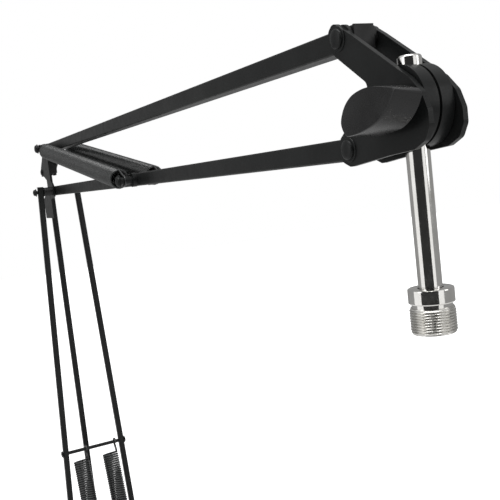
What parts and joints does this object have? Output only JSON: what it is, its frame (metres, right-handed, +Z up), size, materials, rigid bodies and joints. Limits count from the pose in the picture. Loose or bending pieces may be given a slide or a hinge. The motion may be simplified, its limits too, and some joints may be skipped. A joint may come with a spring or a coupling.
{
  "type": "microphone boom arm",
  "caption": "Spring-balanced desk boom arm for a microphone, with a screw clamp, levelling parallelogram arms and a clamped drop rod with a microphone thread.",
  "frame": {"origin": "on the desk top, at the underside of the clamp's upper jaw, on the swivel axis", "axes": "+X from the clamp towards the microphone along the upper arm at rest, +Y across the arm away from the wing knob, +Z up"},
  "size_m": [0.5977, 0.0844, 0.6916],
  "materials": {
    "black_steel": "satin black powder coat",
    "spring_steel": "black coated wire",
    "black_plastic": "matte",
    "knob_plastic": "satin moulded",
    "chrome": "bright",
    "zinc_steel": "bright zinc",
    "rubber": "matte"
  },
  "bodies": {
    "desk_clamp": {"clamp_frame": "black_steel", "clamp_socket": "black_steel", "jaw_pad": "rubber"},
    "pressure_foot": {"pressure_plate": "black_steel", "pressure_pad": "rubber"},
    "clamp_screw": {"clamp_screw": "zinc_steel", "tommy_bar": "zinc_steel", "tommy_bar_knobs": "black_plastic"},
    "base_swivel": {"base_bracket": "black_steel", "base_spigot": "black_steel", "swivel_washer": "black_plastic", "base_pivot_bolt": "black_steel", "base_pivot_nut": "black_steel", "base_pivot_washers": "black_plastic", "base_link_pin": "black_steel", "base_link_spacers": "black_plastic", "base_spring_rod": "black_steel"},
    "lower_arm": {"lower_bar_near": "black_steel", "lower_bar_far": "black_steel", "lower_bar_near_plugs": "black_plastic", "lower_bar_far_plugs": "black_plastic", "lower_spring_rod": "black_steel", "lower_spring_near": "spring_steel", "lower_spring_far": "spring_steel"},
    "lower_link": {"lower_link_bar": "black_steel", "lower_link_plugs": "black_plastic"},
    "elbow": {"elbow_plate_near": "black_steel", "elbow_plate_far": "black_steel", "elbow_web": "black_steel", "elbow_pivot_bolt": "black_steel", "elbow_pivot_nut": "black_steel", "elbow_pivot_spacers": "black_plastic", "elbow_spring_pin": "black_steel", "elbow_link_pin": "black_steel", "elbow_link_washers": "black_plastic"},
    "upper_arm": {"upper_arm_lower_bar": "black_steel", "upper_arm_lower_bar_plugs": "black_plastic", "spring_anchor_pin": "black_steel", "spring_anchor_collars": "black_steel", "upper_spring_near": "spring_steel", "upper_spring_far": "spring_steel"},
    "upper_link": {"upper_arm_top_bar": "black_steel", "upper_arm_top_bar_plugs": "black_plastic"},
    "head": {"head_plate_near": "black_steel", "head_plate_far": "black_steel", "head_pin_lower": "black_steel", "head_pin_upper": "black_steel", "head_washers": "black_plastic"},
    "hub": {"hub_disc_near": "black_steel", "hub_disc_far": "black_steel", "eye_bolt": "zinc_steel", "knob_washer": "black_steel"},
    "mic_rod": {"mic_rod": "chrome", "thread_adapter": "chrome"},
    "wing_knob": {"wing_knob": "knob_plastic"}
  },
  "joints": [
    {"name": "pressure_foot_travel", "type": "slide", "parent": "desk_clamp", "child": "pressure_foot", "axis": [0, 0, 1], "range_m": [0, 0.044]},
    {"name": "clamp_screw_turn", "type": "hinge", "parent": "pressure_foot", "child": "clamp_screw", "pos_m": [0.006, 0, -0.1], "axis": [0, 0, 1], "range_deg": [0, 7921]},
    {"name": "base_turn", "type": "hinge", "parent": "desk_clamp", "child": "base_swivel", "pos_m": [0, 0, 0.04], "axis": [0, 0, 1], "continuous": true},
    {"name": "lower_arm_tilt", "type": "hinge", "parent": "base_swivel", "child": "lower_arm", "pos_m": [0, 0, 0.072], "axis": [0, 1, 0], "range_deg": [-40, 35], "deforming": ["lower_spring_near", "lower_spring_far"]},
    {"name": "lower_link_tilt", "type": "hinge", "parent": "base_swivel", "child": "lower_link", "pos_m": [-0.033, 0, 0.091], "axis": [0, 1, 0], "range_deg": [-40, 35]},
    {"name": "elbow_level", "type": "hinge", "parent": "lower_arm", "child": "elbow", "pos_m": [0, 0, 0.502], "axis": [0, 1, 0], "range_deg": [-35, 40]},
    {"name": "upper_arm_tilt", "type": "hinge", "parent": "elbow", "child": "upper_arm", "pos_m": [0, 0, 0.502], "axis": [0, 1, 0], "range_deg": [-50, 50], "deforming": ["upper_spring_near", "upper_spring_far"]},
    {"name": "upper_link_tilt", "type": "hinge", "parent": "elbow", "child": "upper_link", "pos_m": [0, 0, 0.542], "axis": [0, 1, 0], "range_deg": [-50, 50]},
    {"name": "head_level", "type": "hinge", "parent": "upper_arm", "child": "head", "pos_m": [0.505, 0, 0.502], "axis": [0, 1, 0], "range_deg": [-50, 50]},
    {"name": "hub_tilt", "type": "hinge", "parent": "head", "child": "hub", "pos_m": [0.5343, 0, 0.5136], "axis": [0, 1, 0], "range_deg": [-60, 38]},
    {"name": "rod_slide", "type": "slide", "parent": "hub", "child": "mic_rod", "axis": [0, 0, 1], "range_m": [-0.008, 0.015]},
    {"name": "knob_turn", "type": "hinge", "parent": "hub", "child": "wing_knob", "pos_m": [0.5343, 0, 0.5136], "axis": [0, -1, 0], "range_deg": [0, 1080]}
  ],
  "couplings": [
    {"joint": "clamp_screw_turn", "follows": "pressure_foot_travel", "rad_per_m": 3141.6},
    {"joint": "lower_link_tilt", "follows": "lower_arm_tilt", "ratio": 1},
    {"joint": "elbow_level", "follows": "lower_arm_tilt", "ratio": -1},
    {"joint": "upper_link_tilt", "follows": "upper_arm_tilt", "ratio": 1},
    {"joint": "head_level", "follows": "upper_arm_tilt", "ratio": -1}
  ]
}
